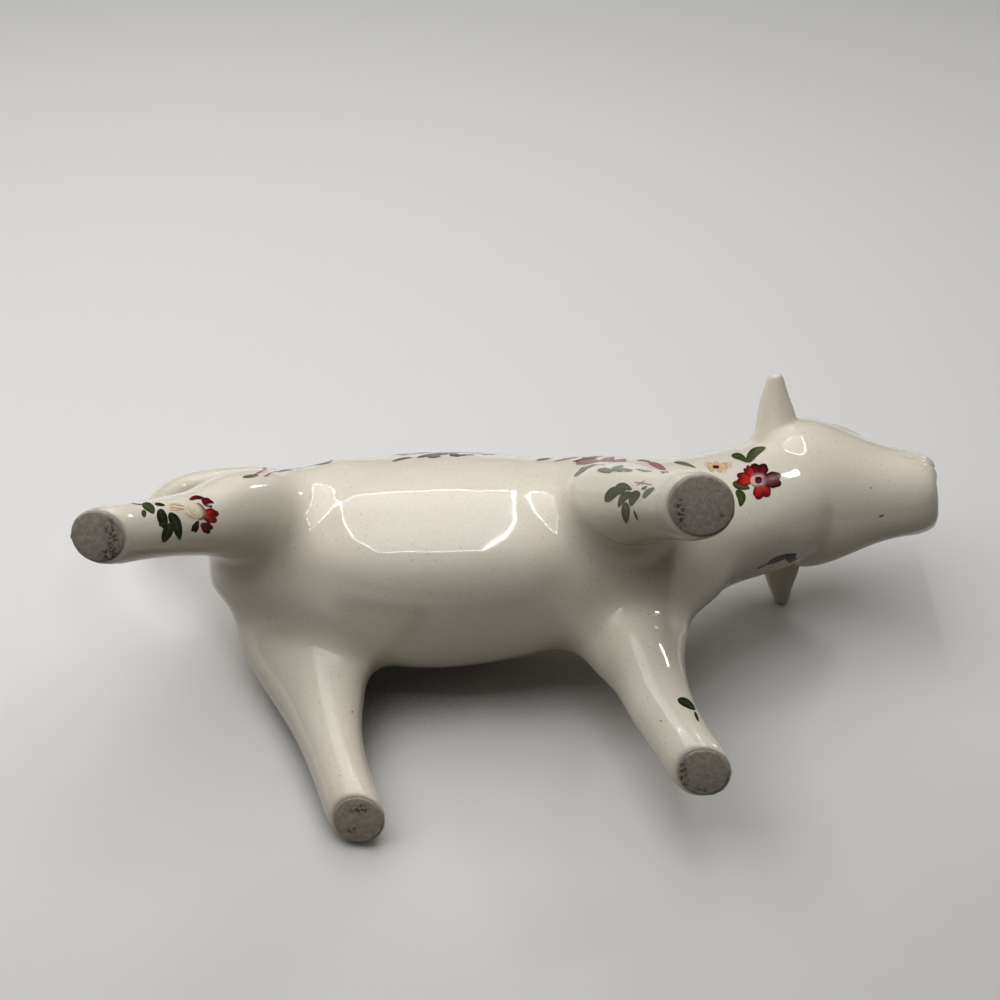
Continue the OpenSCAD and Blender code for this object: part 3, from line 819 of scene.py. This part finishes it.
def paintSprigs(skin):
    shape = bmesh.new()
    shape.from_mesh(skin)
    shape.faces.ensure_lookup_table()
    tree = BVHTree.FromBMesh(shape)
    right, down, lens = (Vector(stage[name]) for name in ("cameraRight", "cameraUp", "camera"))
    middlePixel = sprig["photoSize"] / 2
    focalPixels = sprig["photoSize"] * stage["lens"] / stage["sensor"]

    def underPixel(p):
        way = right * (p[0] - middlePixel) + down * (p[1] - middlePixel) + right.cross(down) * focalPixels
        return lens, way.normalized()

    def underPoint(at, towards, top, size):
        towards = Vector(towards).normalized()
        top = Vector(top)
        top = (top - towards * top.dot(towards)).normalized()
        side = towards.cross(top)
        return lambda p: (Vector(at) / 1000 + (side * p[0] + top * p[1]) * size / 1000, towards)

    # Where the strokes' rays come from, the strokes, and one unit's length (worked out for pixels)
    jobs = [(underPixel, seenStrokes, None)]
    jobs += [(underPoint(*spot[1:]), spot[0], spot[4] / 1000) for spot in unseenSprigs]
    enamels = {}
    for enamel in ("leaf", "red", "yellow", "mauve"):
        sheet = bmesh.new()
        kinds = sheet.verts.layers
        layers = [kinds.float.new("along"), kinds.float.new("across"), kinds.float_color.new("paint"),
                  kinds.float_vector.new("glazeNormal")]
        enamels[enamel] = (sheet, layers)
    columns, rows = sprig["grid"]
    for source, strokes, unit in jobs:
        for number, (enamel, kind, paint, half, line) in enumerate(strokes):
            sheet, (alongLayer, acrossLayer, paintLayer, normalLayer) = enamels[enamel]
            slip = np.array((0.0, 0.0))
            while tree.ray_cast(*source(lineAt(line, 0.5) + slip))[0] is None and slip[1] < sprig["slipMost"]:
                slip[1] += 1.0
            if slip[1] >= sprig["slipMost"]:
                print("no clay under", enamel, line)
                continue
            slip[1] += sprig["slipMore"] * (slip[1] > 0)
            line = [tuple(np.array(p) + slip) for p in line]
            made = bmesh.ops.create_grid(sheet, x_segments=columns, y_segments=rows, size=1)["verts"]
            middle = lineAt(line, 0.5)
            start, way = source(middle)
            heart = tree.ray_cast(start, way)[0]
            flat = unit or (heart - start).length * (source(middle + np.array((1, 0)))[1] - way).length
            for v in made:
                along, across = (v.co.x + 1) / 2, v.co.y
                v[alongLayer], v[acrossLayer], v[paintLayer] = along, across, (*paints[paint], 1)
                place = strokePlace(kind, half, line, along, across)
                for pull in range(sprig["pulls"]):
                    aim = place + (middle - place) * pull / sprig["pulls"]
                    at, out, index, _ = tree.ray_cast(*source(aim))
                    most = sprig["stretch"] * flat * np.hypot(*(aim - middle)) + sprig["slack"]
                    if at is not None and (at - heart).length < most:
                        break
                corners = shape.faces[index].verts
                shares = poly_3d_calc([c.co for c in corners], at)
                smooth = sum((c.normal * w for c, w in zip(corners, shares)), Vector()).normalized()
                v.co = at + smooth * (sprig["lift"] + sprig["strokeLift"] * number % sprig["mostLift"])
                v[normalLayer] = smooth
            bmesh.ops.remove_doubles(sheet, verts=made, dist=sprig["merge"])
    shape.free()
    for enamel, (sheet, layers) in enamels.items():
        for f in sheet.faces:
            if f.normal.dot(f.verts[0][layers[3]]) < 0:
                f.normal_flip()
        mesh = meshOf(sheet, enamel + "_strokes")
        shadeAsGlaze(mesh)
        piece = linked(enamel + "_strokes", mesh)
        mesh.materials.append(enamelMaterial(enamel))
        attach(piece, "root")
        enamel + "_enamel"
        print("painted", enamel, len(mesh.polygons))


# Bare clay soles
def makeSoles():
    for name, (x, y, _, clayRadius) in soles.items():
        disc = bmesh.new()
        bmesh.ops.create_circle(disc, cap_ends=True, radius=clayRadius, segments=feet["segments"])
        grown = bmesh.ops.extrude_face_region(disc, geom=disc.faces[:])["geom"]
        grown = [v for v in grown if isinstance(v, bmesh.types.BMVert)]
        bmesh.ops.translate(disc, vec=(0, 0, feet["depth"]), verts=grown)
        low = [e for e in disc.edges if all(v.co.z < 1e-6 for v in e.verts)]
        bmesh.ops.bevel(disc, geom=low, offset=feet["rim"], segments=feet["rimSteps"], profile=0.5,
                        affect="EDGES", material=-1)
        bmesh.ops.recalc_face_normals(disc, faces=disc.faces)
        bmesh.ops.translate(disc, vec=(x, y, 0), verts=disc.verts)
        mesh = meshOf(disc, "sole_" + name)
        mesh.shade_smooth()
        mesh.set_sharp_from_angle(angle=feet["sharp"])
        sole = linked("sole_" + name, mesh)
        mesh.materials.append(clayMaterial(name))
        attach(sole, "root")


# Finishes
soot = {   # the kiln's dark smears on each sole: where and how big, as shares of its radius
    "hind_right": [((0.52, 0.12), (0.24, 0.85)), ((0.30, 0.72), (0.35, 0.22))],
    "front_right": [((-0.66, 0.22), (0.16, 0.62)), ((0.6, 0.3), (0.10, 0.10))],
    "front_left": [((-0.80, 0.05), (0.18, 0.80)), ((-0.2, 0.8), (0.3, 0.12))],
    "hind_left": [((0.10, -0.52), (0.45, 0.22)), ((-0.30, 0.42), (0.16, 0.16))],
}


glazing = {
    "body": ((0.80, 0.748, 0.640), (0.77, 0.708, 0.590)), "bodyScale": 26.0,
    "pooledGlazeAndShade": (0.58, 0.52, 0.40), "pooledGlazeAndShadeShare": 0.7,
    "dots": (620.0, (0.07, 0.17), (0.45, 0.8)), "dotColour": (0.38, 0.30, 0.20), "dotShare": 0.5,
    "flecks": (95.0, (0.012, 0.028), (0.62, 0.64)), "fleckColour": (0.12, 0.085, 0.055), "fleckShare": 0.75,
    "grainScale": 1900.0, "grainColour": (0.50, 0.44, 0.34), "grainShare": 0.16,
    "bareScale": 1500.0, "bareColour": (0.40, 0.345, 0.29), "bareShare": 0.8,
    "waveScale": 85.0, "waveHeight": 0.00022,
    "rough": 0.06, "grainRough": 0.03, "bareRough": 0.5, "ior": 1.52,
}
enamelling = {
    "massScale": 420.0, "rough": 0.10, "massRough": 0.08, "ior": 1.24,
    "dark": {"red": (0.20, 0.16, 0.22), "leaf": (0.45, 0.50, 0.40), "yellow": (0.72, 0.62, 0.55),
             "mauve": (0.72, 0.62, 0.55)},
    "vein": (0.16, 0.18, 0.08), "veinShare": 0.30, "blush": (0.70, 0.20, 0.17), "blushShare": 0.25,
}
biscuit = {
    "body": ((0.44, 0.385, 0.335), (0.30, 0.255, 0.215)), "bodyScale": 900.0,
    "gritScale": 2600.0, "grit": (0.17, 0.14, 0.115), "gritShare": 0.45,
    "paleScale": 1500.0, "pale": (0.60, 0.55, 0.50), "paleShare": 0.35,
    "sootScale": 1300.0, "soot": (0.028, 0.020, 0.016), "sootMost": 0.92,
    "bumpScale": 2400.0, "bump": 0.00012, "rough": 0.86,
}


def speckles(b, where, scale, size, rarity):
    # Round dots in some of the cells
    cells = {"Vector": where, "Scale": scale}
    away = b.add("ShaderNodeTexVoronoi", {}, cells)
    chance = b.add("ShaderNodeSeparateColor", {}, {0: b.add("ShaderNodeTexVoronoi", {}, cells, 1)})
    return (1 - b.between(away, *size)) * b.between(chance, *rarity)


def glazeMaterial():
    b = Board("ivory glaze")
    where = b.place()
    body = b.mix(b.between(b.noise(glazing["bodyScale"], 3.0, where=where), 0.35, 0.7), *glazing["body"])
    hollow = b.between(b.attribute("hollowness"), 0.0, 1.0)
    # Hollows take the pooled glaze's darker colour, which also paints shade into the creases
    body = b.mix(hollow * glazing["pooledGlazeAndShadeShare"], body, glazing["pooledGlazeAndShade"])
    body = b.mix(speckles(b, where, *glazing["dots"]) * glazing["dotShare"], body, glazing["dotColour"])
    body = b.mix(speckles(b, where, *glazing["flecks"]) * glazing["fleckShare"], body, glazing["fleckColour"])
    grain = b.between(b.noise(glazing["grainScale"], 2.0, where=where), 0.40, 0.72)
    body = b.mix(grain * glazing["grainShare"], body, glazing["grainColour"])
    ragged = (b.noise(glazing["bareScale"], 3.0, where=where) - 0.5) * 0.5
    bare = b.between(b.attribute("bare") + ragged, 0.2, 0.9)
    body = b.mix(bare * glazing["bareShare"], body, glazing["bareColour"])
    waves = b.bump(b.noise(glazing["waveScale"], 2.0, where=where), glazing["waveHeight"])
    rough = glazing["rough"] + grain * glazing["grainRough"] + bare * glazing["bareRough"]
    return b.surface(body, rough, waves, IOR=glazing["ior"])


def enamelMaterial(enamel):
    b = Board(enamel + " enamel")
    paint = b.attribute("paint", "Color")
    along, across = b.attribute("along"), b.attribute("across")
    edge = across.maths("ABSOLUTE")
    if enamel != "leaf":
        edge = edge.maths("MAXIMUM", along * 0.96)
    mass = b.noise(enamelling["massScale"], 3.0)
    red = enamel == "red"
    shade = b.between(edge + (mass - 0.5) * 0.5, 0.45 if red else 0.62, 0.90)
    dark = b.mix(1.0, paint, enamelling["dark"][enamel], "MULTIPLY")
    colour = b.mix(shade * (0.9 if red else 0.6), paint, dark)
    if enamel == "leaf":
        vein = 1 - b.between(edge, 0.03, 0.12)
        colour = b.mix(vein * enamelling["veinShare"], colour, enamelling["vein"])
    if red:
        blush = (1 - b.between(along, 0.05, 0.35)) * (1 - b.between(edge, 0.3, 0.6))
        colour = b.mix(blush * enamelling["blushShare"], colour, enamelling["blush"])
    waves = b.bump(b.noise(glazing["waveScale"], 2.0), glazing["waveHeight"])
    rough = enamelling["rough"] + mass * enamelling["massRough"]
    return b.surface(colour, rough, waves, IOR=enamelling["ior"])


def clayMaterial(name):
    x, y, _, clayRadius = soles[name]
    b = Board("bare clay " + name)
    where = b.place()
    colour = b.mix(b.between(b.noise(biscuit["bodyScale"], 5.0, 0.65, where), 0.3, 0.7), *biscuit["body"])
    grit = b.add("ShaderNodeTexVoronoi", {}, {"Vector": where, "Scale": biscuit["gritScale"]})
    colour = b.mix((1 - b.between(grit, 0.1, 0.35)) * biscuit["gritShare"], colour, biscuit["grit"])
    pale = b.between(b.noise(biscuit["paleScale"], 3.0, where=where), 0.58, 0.75)
    colour = b.mix(pale * biscuit["paleShare"], colour, biscuit["pale"])
    smear = 0
    for (sx, sy), (wide, tall) in soot[name]:
        spot = b.add("ShaderNodeMapping", {"vector_type": "TEXTURE"}, {
            "Vector": where, "Location": (x + sx * clayRadius, y + sy * clayRadius, 0),
            "Scale": (wide * clayRadius, tall * clayRadius, 1)})
        smear = (1 - b.between(b.length(spot), 0.35, 1.5)) + smear
    broken = b.between(b.noise(biscuit["sootScale"], 4.0, 0.7, where), 0.42, 0.60)
    colour = b.mix((smear * broken).maths("MINIMUM", biscuit["sootMost"]), colour, biscuit["soot"])
    rough = b.bump(b.noise(biscuit["bumpScale"], 4.0, 0.7, where), biscuit["bump"])
    return b.surface(colour, biscuit["rough"], rough)


makeCamera()
makeLights()
skin, skinEdges, owner = makeSkin()
makeStage(float((readArray(skin.vertices, "co", 3) @ np.array(stageAxes()[0])).min()))
makeSoles()
paintSprigs(skin)
cutUp(skin, skinEdges, owner, glazeMaterial())
bpy.data.meshes.remove(skin)

bpy.context.scene.view_settings.view_transform = "Standard"
